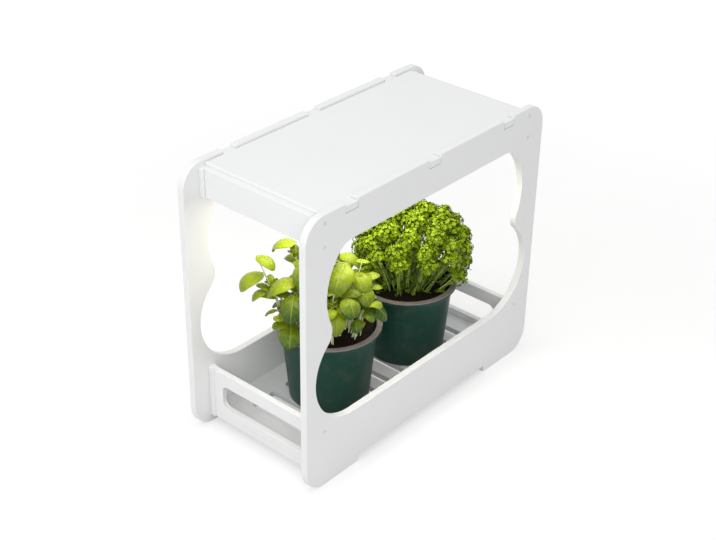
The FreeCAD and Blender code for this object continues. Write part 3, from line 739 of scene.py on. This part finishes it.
def soil_finish(paints):
    """Damp peat with paler fibres."""
    finish = Finish("damp_peat", roughness=0.85, specular_ior_level=0.15)
    clod = finish.noise(260.0, 5.0, rough=0.65)
    fibre = finish.streaks((1500.0, 260.0, 700.0)).ramp(0.62, 0.75)
    base = finish.mix(clod, shade(paints.soil, 0.5), shade(paints.soil, 2.2))
    finish.feed(Base_Color=finish.mix(fibre * 0.5, base, (0.10, 0.065, 0.035)), Roughness=clod * 0.3 + 0.65)
    return finish.bump(clod + fibre * 0.4, 0.0008, 0.8)


def soil_bed(name, node, seed):
    """Closed plug of soil with a bumpy top, inside the CAD soil's place."""
    gap = 0.0003
    shoulder = 0.0018
    dip = 0.0012
    lump_height = 0.0011
    low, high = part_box(node)
    middle = (low + high) / 2
    rim = (high.x - low.x) / 2 - gap
    foot = rim * 0.82
    rings, sides = 26, 72
    turns = [side * tau / sides for side in range(sides)]
    points = [Vector((middle.x, middle.y, high.z - dip))]
    for ring in range(1, rings + 1):
        share = ring / rings
        radius = rim if ring == rings else (rim - shoulder) * (ring / (rings - 1))
        for turn in turns:
            spot = Vector((middle.x + radius * cos(turn), middle.y + radius * sin(turn), 0))
            place = Vector((spot.x, spot.y, seed))
            lump = noise.noise(place * 95) + noise.noise(place * 260) / 2
            fall = dip * share * share
            rise = lump_height * lump * min(1, (1 - share) * 12)
            spot.z = high.z - dip - fall + min(rise, lump_height) - (2 * shoulder if ring == rings else 0)
            points.append(spot)
    points += [Vector((middle.x + foot * cos(turn), middle.y + foot * sin(turn), low.z)) for turn in turns]
    points.append(Vector((middle.x, middle.y, low.z)))
    return mesh_object(name, points, ring_faces(sides, rings + 1))


def crumb_shape(name, seed):
    """One faceted crumb about the origin, of unit size."""
    dice = random.Random(seed)
    sides = 4
    height_shares = [(1.0, 0.0, 1), (0.5, 0.85, sides), (-0.4, 0.95, sides), (-1.0, 0.0, 1)]
    points = []
    for height, reach, count in height_shares:
        for index in range(count):
            turn = (index + dice.random() * 0.6) * tau / count
            wide = reach * dice.uniform(0.6, 1.0)
            points.append(Vector((wide * cos(turn), wide * sin(turn), height * dice.uniform(0.5, 0.9))) / 2)
    return mesh_object(name, points, ring_faces(sides, 2), smooth=False)


class PLANTER_OT_pots(Operator):
    """Finish the two pots and fill them with crumbly soil."""

    bl_idname = "planter.pots"
    bl_label = "Pots and soil"

    def execute(self, context):
        paints = context.scene.planter_pots
        dress(pot_finish(paints), "basil_pot", "parsley_pot")
        given = {"Material": soil_finish(paints), "Size": paints.crumb, "Spacing": paints.crumb * 0.6}
        crumbs = kit("crumb_shapes", [crumb_shape("crumb_%d" % index, index) for index in range(4)])
        tree = crumbs_tree()
        for herb, seed in (("basil", paints.seed), ("parsley", paints.seed + 4)):
            bed = soil_bed(herb + "_bed", herb + "_soil", seed)
            soil = grown(herb + "_earth", bed, tree, {**given, "Pieces": crumbs, "Seed": seed})
            settle(soil, herb, "soil", herb + "_soil")
        drop(crumbs)
        return {"FINISHED"}


# Herbs


def plant_spot(plant, pot, across, toward, raised):
    """Point over a pot's soil from shares of a plant's spread and rise."""
    low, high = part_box(pot)
    side = level_way(plant.heading)
    front = Vector((sin(plant.heading), -cos(plant.heading), 0))
    axis = Vector(((low.x + high.x) / 2, (low.y + high.y) / 2, high.z - SOIL_DIP))
    spot = axis + side * (across * plant.spread) + front * (toward * plant.spread)
    return spot + UP * (raised * plant.rise)


class Spots:
    """Points that carry numbers, gathered for a tree."""

    numbers = {}

    def __init__(self):
        self.points, self.edges = [], []
        self.values = {label: [] for label in self.numbers}

    def note(self, spot, *values):
        self.points.append(spot)
        for label, value in zip(self.numbers, values):
            self.values[label].append(value)

    def grow(self, name, tree, given):
        source = mesh_object(name + "_spots", self.points, edges=self.edges)
        for label, kind in self.numbers.items():
            mark(source, label, kind, self.values[label])
        return grown(name, source, tree, given)


class Lines(Spots):
    """Polylines with a thickness and tone at each point."""

    numbers = {"thickness": "FLOAT", "tone": "FLOAT"}

    def add(self, spots, start, end, tone=0.5):
        for index, spot in enumerate(spots):
            if index:
                self.edges.append((len(self.points) - 1, len(self.points)))
            self.note(spot, start + (end - start) * index / (len(spots) - 1), tone)


class Places(Spots):
    """Points with the turn, size, kind and tone of the piece that is copied to each."""

    numbers = {"turn": "FLOAT_VECTOR", "size": "FLOAT", "kind": "INT", "tone": "FLOAT"}

    def add(self, spot, along, normal, size, kind, tone):
        side = normal.cross(along).normalized()
        turned = Matrix((along.normalized(), side, along.cross(side).normalized())).transposed()
        self.note(spot, tuple(turned.to_euler()), size, kind, tone)


def basil_leaf(name, width, arch, cup, curl, skew):
    """Closed cupped leaf of unit length along +X, with a sunk midrib and puffed panels between the veins."""
    rows, half = 15, 6
    thick = 0.008
    rib_depth, rib_width = 0.026, 0.13
    puff, veins = 0.012, 4.5
    upper, lower, uvs = [], [], []
    for row in range(rows + 1):
        t = row / rows
        belly = sin(pi * t)
        wide = width * 1.26 * max(t, 1e-4) ** 0.55 * max(1 - t, 0) ** 0.62
        for column in range(-half, half + 1):
            s = column / half
            x = t + 0.05 * s * s * wide
            y = s * wide + skew * belly
            z = arch * (1 - (2 * t - 1) ** 2) - curl * max(0, t - 0.72) ** 2 * 4
            z -= cup * (abs(s) ** 2.2) * wide / width * 1.6
            z -= rib_depth * exp(-((s / rib_width) ** 2)) * sin(pi * min(1, t * 1.05))
            panel = sin(tau * (t * veins - abs(s) * 0.8))
            z += puff * panel * abs(s) * (1 - abs(s)) * 4 * belly
            upper.append(Vector((x, y, z + thick / 2)))
            lower.append(Vector((x, y, z - thick / 2)))
            uvs.append((t, s * 0.5 + 0.5))
    columns = half * 2 + 1
    count = len(upper)
    grid = [[row * columns + column for column in range(columns)] for row in range(rows + 1)]
    faces = []
    for line in grid[:-1]:
        for a in line[:-1]:
            b = a + columns
            faces.append((a, b, b + 1, a + 1))
            faces.append((a + count, a + 1 + count, b + 1 + count, b + count))
    rim = grid[0] + [line[-1] for line in grid[1:-1]] + grid[-1][::-1] + [line[0] for line in grid[-2:0:-1]]
    for index, a in enumerate(rim):
        b = rim[(index + 1) % len(rim)]
        faces.append((a, b, b + count, a + count))
    leaf = mesh_object(name, upper + lower, faces)
    layer = leaf.data.uv_layers.new(name="leaf")
    for loop in leaf.data.loops:
        layer.data[loop.index].uv = uvs[loop.vertex_index % count]
    return sealed(leaf, thick / 8)


def leaf_finish(plant):
    """Smooth basil leaf: pale midrib and side veins, tone by leaf, and a painted highlight toward the stalk.
    """
    finish = Finish("basil_leaf", roughness=0.3, specular_ior_level=0.3)
    t, s, _ = finish.axes(finish.node("ShaderNodeUVMap", {"uv_map": "leaf"}).outputs[0])
    away = abs(s - 0.5) * 2
    side_veins = ((t * 7.0 - away * 1.3) * tau).math("SINE").ramp(0.86, 1.0) * (1 - away).ramp(0.0, 0.3)
    midrib = 1 - away.ramp(0.03, 0.09)
    vein = midrib.math("MAXIMUM", side_veins * 0.45)
    mottle = finish.noise(160.0, 3.0)
    # Painted highlight toward each stalk; the tone also carries painted shade on low leaves
    lighter = finish.attribute("tone") + mottle * 0.3 - t * 0.6 + 0.15
    base = finish.mix(lighter.ramp(0.0, 1.0), plant.leaf_dark, plant.leaf_light)
    finish.feed(Base_Color=finish.mix(vein * 0.5, base, (0.36, 0.46, 0.05)), Roughness=mottle * 0.14 + 0.2)
    return finish.bump(finish.noise(420.0) * 0.3 - vein, 0.0007, 0.8)


def stem_finish(name, paint):
    """Ridged pale stem, darker toward old growth."""
    finish = Finish(name, roughness=0.5, specular_ior_level=0.3)
    streak = finish.streaks((1500.0, 1500.0, 60.0), 2.0)
    lighter = (finish.attribute("tone") + streak * 0.5 - 0.25).ramp(0.0, 1.0)
    finish.feed(Base_Color=finish.mix(lighter, shade(paint, 0.55), shade(paint, 1.15)))
    return finish.bump(streak, 0.0002, 0.5)


def basil_fine_stems(plant, dice, stems, foot, tip):
    """Thin stems that start beside a thick one and lean to it."""
    for _ in range(FINE_STEMS):
        aside = level_way(dice.uniform(0, tau)) * dice.uniform(*BASIL_ASIDE)
        fine = [foot + aside, foot.lerp(tip, 0.35) + aside * 0.6, foot.lerp(tip, 0.75)]
        stems.add(fine, plant.foot_radius * 0.5, plant.tip_radius * 0.5, dice.uniform(0.7, 1.3))


def small_leaves(plant, dice, stalks, leaves, foot, tip):
    """Pairs of small leaves up a stem."""
    start = dice.uniform(0, tau)
    for level, pairs, low, high, climb in ROSETTE_SHARES:
        joint = foot.lerp(tip, level)
        for index in range(pairs * 2):
            turn = start + level * 2 + index * pi / pairs + dice.uniform(-0.3, 0.3)
            way = level_way(turn, climb * dice.uniform(0.7, 1.3)).normalized()
            size = plant.leaf * dice.uniform(low, high)
            base = joint + way * (size * 0.18)
            stalk = [joint, joint.lerp(base, 0.6), base + way * (size * 0.08)]
            stalks.add(stalk, plant.stalk_radius, plant.stalk_radius * 0.6)
            # Tone: random, plus painted light on leaves high up the stem
            leaves.add(base, way, UP, size, dice.randrange(4), dice.uniform(0.0, 0.5) + level * 0.5)


def placed_leaf(plant, dice, stalks, leaves, foot, tip, across, toward, raised, share):
    """One leaf at its place, with a stalk from its stem and a thin stem up from the soil."""
    course = (tip - foot).normalized()
    middle = plant_spot(plant, "basil_pot", across, toward, raised)
    half = share * plant.leaf / 2
    away = middle - foot - course * (middle - foot).dot(course)
    away.z = 0
    way = (away.normalized() - UP * plant.droop * dice.uniform(0.6, 1.4)).normalized()
    base = middle - way * half - UP * (plant.dome * half)
    level = (base - foot).dot(course)
    aside = (base - foot - course * level).length
    joint = foot + course * min(level - max(aside, plant.stalk) * 0.8, (tip - foot).length)
    # Tone: random, plus painted light on high leaves and painted shade on low ones
    leaves.add(base, way, UP, half * 2, dice.randrange(4), dice.uniform(-0.1, 0.6) + raised * 0.5)
    root = foot.lerp(base, 0.45)
    root.z = foot.z
    rise = [root - UP * ROOT_DEPTH, root.lerp(joint, 0.5), joint]
    stalks.add(rise, plant.stalk_radius, plant.stalk_radius * 0.8, dice.uniform(0.6, 1.2))
    bend = joint.lerp(base, 0.6) + UP * STALK_BEND
    stalk = [joint, bend, base, base + way * (STALK_OVERRUN * share)]
    stalks.add(stalk, plant.stalk_radius, plant.stalk_radius * 0.7)


class PLANTER_OT_basil(Operator):
    """Grow the basil's stems, stalks and cupped leaves."""

    bl_idname = "planter.basil"
    bl_label = "Basil"

    def execute(self, context):
        plant = context.scene.planter_basil
        dice = random.Random(plant.seed)
        stems, stalks, leaves = Lines(), Lines(), Places()
        courses = []
        for foot_share, tip_share in STEM_SHARES:
            foot = plant_spot(plant, "basil_pot", *foot_share, 0)
            tip = plant_spot(plant, "basil_pot", *tip_share)
            courses.append((foot, tip))
            foot = foot - UP * ROOT_DEPTH
            spots = [foot.lerp(tip, index / 8) for index in range(9)]
            stems.add(spots, plant.foot_radius, plant.tip_radius, dice.uniform(0.4, 0.9))
            basil_fine_stems(plant, dice, stems, foot, tip)
            small_leaves(plant, dice, stalks, leaves, foot, tip)
        for stem, *shares in LEAF_SHARES:
            placed_leaf(plant, dice, stalks, leaves, *courses[stem], *shares)
        forms = enumerate(LEAF_FORM_SHARES)
        shapes = kit("basil_shapes", [basil_leaf("basil_leaf_%d" % index, *form) for index, form in forms])
        given = {"Pieces": shapes, "Material": leaf_finish(plant)}
        blades = leaves.grow("basil_foliage", instances_tree(), given)
        drop(shapes)
        settle(blades, "basil", "basil_leaf", "basil_leaves")
        given = {"Sides": 10, "Material": stem_finish("basil_stem", plant.stem)}
        tree = rods_tree()
        settle(stems.grow("basil_stalks", tree, given), "basil", "basil_stem", "basil_stems")
        settle(stalks.grow("basil_leaf_stalks", tree, {**given, "Sides": 8}), "basil", "basil_stem")
        return {"FINISHED"}


def frill_leaflet(name, waves, seed):
    """Closed curly leaflet of unit radius: a fan whose edge rises and falls."""
    dice = random.Random(seed)
    sides = 7
    hub, thick, ruffle = 0.05, 0.04, 0.38
    phase = dice.uniform(0, tau)
    upper, lower = [UP * hub], [UP * -hub]
    rim = []
    for side in range(sides):
        turn = side * tau / sides
        wave = sin(waves * turn + phase) + dice.uniform(-0.3, 0.3)
        way = level_way(turn)
        inner = way * 0.55 + UP * (0.12 + 0.25 * ruffle * wave)
        upper.append(inner + UP * thick)
        lower.append(inner - UP * thick)
        rim.append(way * dice.uniform(0.8, 1.05) + UP * (0.30 + ruffle * wave))
    faces = []
    top, under, edge = 1, sides + 2, 2 * sides + 2
    for side in range(sides):
        after = (side + 1) % sides
        faces.append((0, top + side, top + after))
        faces.append((top + side, edge + side, edge + after, top + after))
        faces.append((sides + 1, under + after, under + side))
        faces.append((under + after, edge + after, edge + side, under + side))
    leaflet = mesh_object(name, upper + lower + rim, faces)
    # The rim number marks the raised edge for painted light and the sunk hub for painted shade
    mark(leaflet, "rim", "FLOAT", [0] + [0.55] * sides + [0] + [0.5] * sides + [1] * sides)
    return leaflet


def frill_finish(plant):
    """Curly parsley leaf: painted light on the raised rims, painted shade in the hearts, and tone by
    leaflet.
    """
    finish = Finish("parsley_leaf", roughness=0.45, specular_ior_level=0.25)
    mottle = finish.noise(300.0)
    # Painted light and shade: lighter on the rims and on outer and upward leaflets, darker in the hearts and
    # inside each head
    lighter = finish.attribute("tone") * 0.75 + finish.attribute("rim") * 0.3 + mottle * 0.3 - 0.2
    finish.feed(Base_Color=finish.mix(lighter.ramp(0.0, 1.0), plant.leaf_dark, plant.leaf_light))
    finish.feed(Roughness=mottle * 0.15 + 0.38)
    return finish.bump(finish.noise(900.0), 0.0003, 0.6)


def any_way(dice):
    """A vector of any direction."""
    return Vector([dice.gauss(0, 1) for _ in range(3)])


def parsley_fine_stem(plant, dice, stems, leaflets, spots, head):
    """Thin stem beside a thick one, with a few low leaflets."""
    aside = Vector((dice.uniform(-1, 1), dice.uniform(-1, 1), 0)) * PARSLEY_ASIDE
    fine = [spots[0] + aside, spots[4] + aside * 0.4, head + aside * 0.8 - UP * FINE_STEM_DROP]
    stems.add(fine, plant.foot_radius * 0.4, plant.tip_radius * 0.4, dice.uniform(-0.6, 1.3))
    for _ in range(LOW_LEAFLETS):
        spot = fine[0].lerp(fine[1], dice.uniform(0.1, 1.0)) + aside * dice.uniform(-1, 1)
        along = Vector((dice.gauss(0, 1), dice.gauss(0, 1), 0)).normalized()
        facing = UP + along.orthogonal() * 0.4
        # Painted shade: the low leaflets get a darker tone
        leaflets.add(spot, along, facing, plant.leaflet, dice.randrange(4), dice.uniform(0.0, 0.6))


def curly_head(plant, dice, leaflets, head, way):
    """Leaflets round the end of a stem, most of them beyond it."""
    for _ in range(plant.leaflets):
        out = (any_way(dice).normalized() + way * 0.7 + UP * 0.15).normalized()
        reach = plant.head * dice.uniform(0.45, 1.0)
        along = out.orthogonal().normalized()
        along.rotate(Matrix.Rotation(dice.uniform(0, tau), 3, out))
        facing = (out + along * dice.uniform(-0.5, 0.5)).normalized()
        size = plant.leaflet * dice.uniform(0.65, 1.15)
        # Painted shade inside each head and painted light on its outer and upward leaflets, with a random
        # part
        tone = (reach / plant.head) * 0.75 + out.z * 0.25 + dice.uniform(-0.3, 0.3)
        leaflets.add(head + out * reach, along, facing, size, dice.randrange(4), tone)


def parsley_ring(plant, dice, stems, leaflets, count, places, ring, foot_ring, height, start):
    """A ring of curly heads on bowed stems."""
    for index in range(count):
        turn = (index + start) * tau / places
        across, toward = cos(turn), sin(turn)
        head = plant_spot(plant, "parsley_pot", across * ring, toward * ring, height)
        head.x += plant.lean * plant.spread
        foot = plant_spot(plant, "parsley_pot", across * foot_ring, toward * foot_ring, 0) - UP * ROOT_DEPTH
        way = (head - foot).normalized()
        bow = UP.cross(way).normalized() * dice.uniform(-STEM_BOW, STEM_BOW)
        spots = [foot.lerp(head, step / 8) + bow * sin(pi * step / 8) for step in range(9)]
        stems.add(spots, plant.foot_radius * 0.7, plant.tip_radius * 0.8, dice.random())
        for _ in range(FINE_STEMS):
            parsley_fine_stem(plant, dice, stems, leaflets, spots, head)
        curly_head(plant, dice, leaflets, head, way)
        for _ in range(TWIGS):
            out = (any_way(dice) + UP).normalized()
            twig = [spots[6], spots[6].lerp(head, 0.6) + out * TWIG_REACH, head + out * plant.head * 0.7]
            stems.add(twig, plant.tip_radius * 0.8, plant.tip_radius * 0.4, dice.random())


class PLANTER_OT_parsley(Operator):
    """Grow the parsley's stems and curly heads."""

    bl_idname = "planter.parsley"
    bl_label = "Parsley"

    def execute(self, context):
        plant = context.scene.planter_parsley
        dice = random.Random(plant.seed)
        stems, outer, filling = Lines(), Places(), Places()
        for rows, leaflets in ((RING_SHARES, outer), (FILL_SHARES, filling)):
            for row in rows:
                parsley_ring(plant, dice, stems, leaflets, *row)
        frills = [frill_leaflet("frill_%d" % index, waves, index) for index, waves in enumerate(FRILL_WAVES)]
        shapes = kit("frill_shapes", frills)
        tree = instances_tree()
        given = {"Pieces": shapes, "Material": frill_finish(plant)}
        curls = outer.grow("parsley_foliage", tree, given)
        infill = filling.grow("parsley_infill", tree, given)
        drop(shapes)
        settle(curls, "parsley", "parsley_leaf", "parsley_leaves")
        settle(infill, "parsley", "parsley_leaf")
        given = {"Sides": 6, "Material": stem_finish("parsley_stem", plant.stem)}
        stalks = stems.grow("parsley_stalks", rods_tree(), given)
        settle(stalks, "parsley", "parsley_stem", "parsley_stems")
        return {"FINISHED"}


# Stage


def soft_light(name, place, aim, size, power):
    """Square soft light that faces a height over the origin."""
    lamp = bpy.data.lights.new(name, "AREA")
    lamp.shape = "SQUARE"
    lamp.size = size
    lamp.energy = power
    thing = put(name, lamp)
    thing.location = place
    thing.rotation_euler = (UP * aim - Vector(place)).to_track_quat("-Z", "Y").to_euler()


def seen_directly(owner):
    """One where a camera, glossy or transmission ray looks."""
    rays = owner.node("ShaderNodeLightPath").outputs
    seen = Field(owner, rays["Is Camera Ray"])
    for label in ("Is Glossy Ray", "Is Transmission Ray"):
        seen = seen.math("MAXIMUM", rays[label])
    return seen


def lay_floor(stage):
    """A pale floor that a camera sees nearly white, a little darker round the planter."""
    corners = [(x * FLOOR_REACH, y * FLOOR_REACH, 0) for x, y in ((-1, -1), (1, -1), (1, 1), (-1, 1))]
    floor = mesh_object("floor", corners, [(0, 1, 2, 3)])
    ground = Finish("pale_floor", roughness=0.9, specular_ior_level=0.0, base_color=stage.floor)
    ground.feed(Base_Color=ground.mix(ground.noise(3.0), shade(stage.floor, 0.995), stage.floor))
    x, y, _ = ground.axes(ground.place())
    away = (x * x + y * y).math("SQRT")
    white = (1, 1, 1)
    glow = {"Color": ground.mix(away.ramp(0.4, 1.6), shade(white, 0.76), white), "Strength": stage.backdrop}
    plain = ground.shader.outputs[0]
    bright = ground.node("ShaderNodeEmission", None, glow).outputs[0]
    both = ground.node("ShaderNodeAddShader", None, {0: plain, 1: bright}).outputs[0]
    choice = ground.node("ShaderNodeMixShader", None, {0: seen_directly(ground), 1: plain, 2: both})
    ground.plug(choice.outputs[0], ground.tree.nodes["Material Output"].inputs[0])
    floor.data.materials.append(ground.material)


def light_world(stage):
    """An even white world, brighter where a camera looks at it."""
    world = bpy.data.worlds.new("studio")
    world.use_nodes = True
    bpy.context.scene.world = world
    sky = Tree(world.node_tree)
    background = world.node_tree.nodes["Background"].inputs
    sky.plug((1, 1, 1, 1), background["Color"])
    sky.plug(seen_directly(sky) * (1 - stage.ambient) + stage.ambient, background["Strength"])


def place_camera(stage):
    """The photograph's view."""
    camera = bpy.data.cameras.new("camera")
    camera.lens = stage.lens
    camera.sensor_width = SENSOR_WIDTH
    turn = Matrix.Rotation(stage.azimuth, 4, "Z")
    turn @= Matrix.Rotation(pi / 2 - stage.elevation, 4, "X")
    turn @= Matrix.Rotation(stage.roll, 4, "Z")
    eye = put("camera", camera)
    target = Matrix.Translation(Vector(stage.target))
    eye.matrix_world = target @ turn @ Matrix.Translation(UP * stage.distance)
    bpy.context.scene.camera = eye


class PLANTER_OT_stage(Operator):
    """Set the floor, the world, the soft lights and the camera."""

    bl_idname = "planter.stage"
    bl_label = "Stage"

    def execute(self, context):
        stage = context.scene.planter_stage
        lay_floor(stage)
        light_world(stage)
        for name, place, aim, size, power in LIGHTS:
            soft_light(name, place, aim, size, getattr(stage, power))
        place_camera(stage)
        context.scene.view_settings.view_transform = "Standard"
        return {"FINISHED"}


class PLANTER_PT_panel(Panel):
    """Lists the planter's pieces and their settings."""

    bl_idname = "PLANTER_PT_panel"
    bl_label = "Herb planter"
    bl_space_type = "VIEW_3D"
    bl_region_type = "UI"
    bl_category = "Planter"

    def draw(self, context):
        for maker, label, settings in MAKERS:
            box = self.layout.box()
            box.operator(maker.bl_idname)
            for value in settings.__annotations__:
                text = value.replace("_", " ").capitalize()
                box.prop(getattr(context.scene, label), value, text=text)


# Each operator with its settings and their name in the scene
MAKERS = [
    (PLANTER_OT_boards, "planter_boards", BoardSettings),
    (PLANTER_OT_lamp, "planter_lamp", LampSettings),
    (PLANTER_OT_pots, "planter_pots", PotSettings),
    (PLANTER_OT_basil, "planter_basil", BasilSettings),
    (PLANTER_OT_parsley, "planter_parsley", ParsleySettings),
    (PLANTER_OT_stage, "planter_stage", StageSettings),
]


def register():
    for maker, label, settings in MAKERS:
        bpy.utils.register_class(settings)
        setattr(bpy.types.Scene, label, PointerProperty(type=settings))
        bpy.utils.register_class(maker)
    bpy.utils.register_class(PLANTER_PT_panel)


def unregister():
    bpy.utils.unregister_class(PLANTER_PT_panel)
    for maker, label, settings in reversed(MAKERS):
        bpy.utils.unregister_class(maker)
        delattr(bpy.types.Scene, label)
        bpy.utils.unregister_class(settings)


def main():
    register()
    for maker, _, _ in MAKERS:
        area, label = maker.bl_idname.split(".")
        getattr(getattr(bpy.ops, area), label)()


if __name__ == "__main__":
    main()
